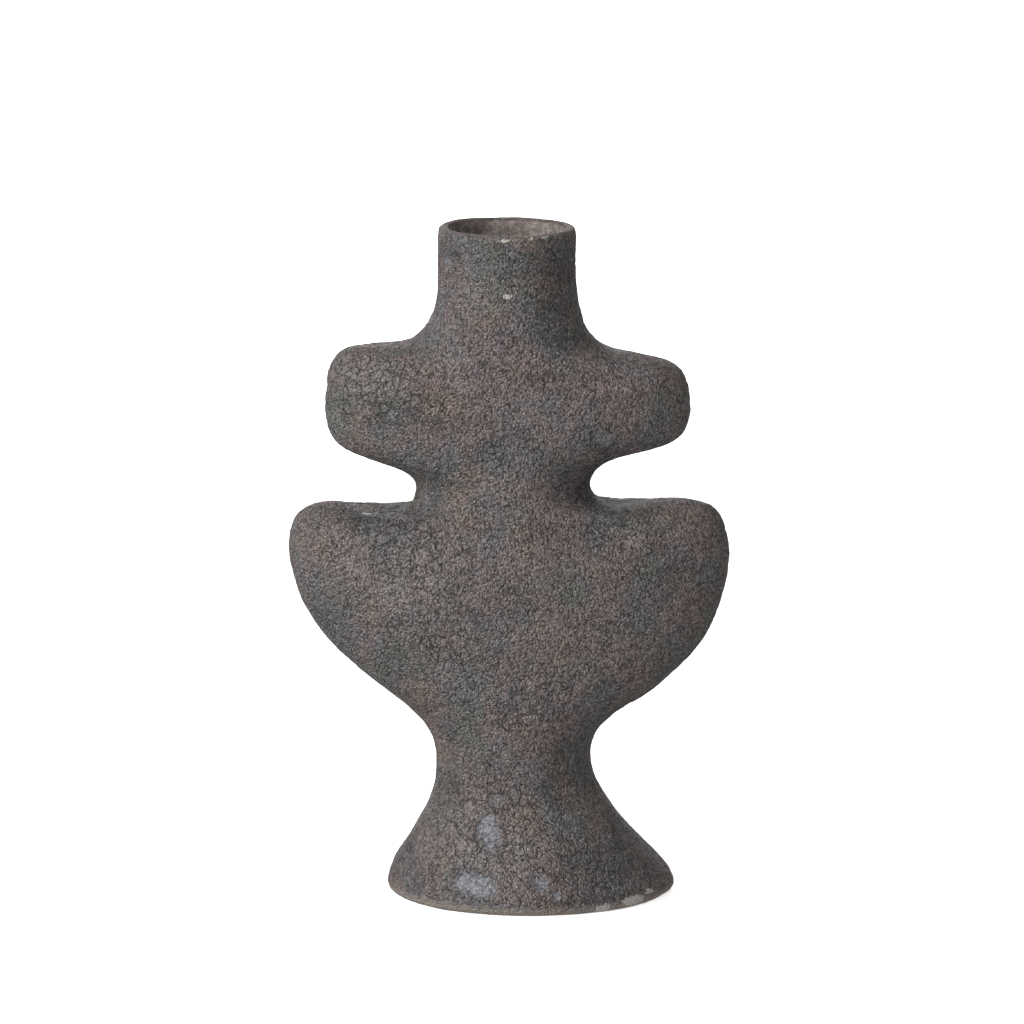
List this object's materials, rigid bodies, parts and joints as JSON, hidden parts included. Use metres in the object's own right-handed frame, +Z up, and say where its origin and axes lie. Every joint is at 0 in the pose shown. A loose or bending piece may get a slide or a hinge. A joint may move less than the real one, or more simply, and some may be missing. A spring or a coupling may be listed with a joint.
{
  "type": "stoneware vase",
  "caption": "Hand-built stoneware vase: a flared round foot, two pairs of flat rounded lobes, one above the other, and a short round neck with an open mouth, in a rough dark crust.",
  "frame": {"origin": "on the table, under the middle of the lobes", "axes": "+Z up, out of the mouth; +X to the right of the front, along the lobes; -Y towards the front"},
  "size_m": [0.1972, 0.1284, 0.3],
  "materials": {
    "crust": "rough granular slip crust, matte, dark warm grey with brown and blue-grey patches",
    "bare_clay": "unglazed fired stoneware, matte, pale tan"
  },
  "bodies": {
    "root": {"foot_ring": "bare_clay", "base_plate": "bare_clay", "foot_wall": "crust", "lower_body_front": "crust", "lower_body_back": "crust", "upper_body_front": "crust", "upper_body_back": "crust", "neck_tube": "crust", "lip_coil": "crust", "foot_joint_coil": "bare_clay", "stem_joint_coil": "bare_clay", "waist_joint_coil": "bare_clay", "neck_joint_coil": "bare_clay", "lower_seam_coils": "bare_clay", "upper_seam_coils": "bare_clay"}
  },
  "joints": []
}
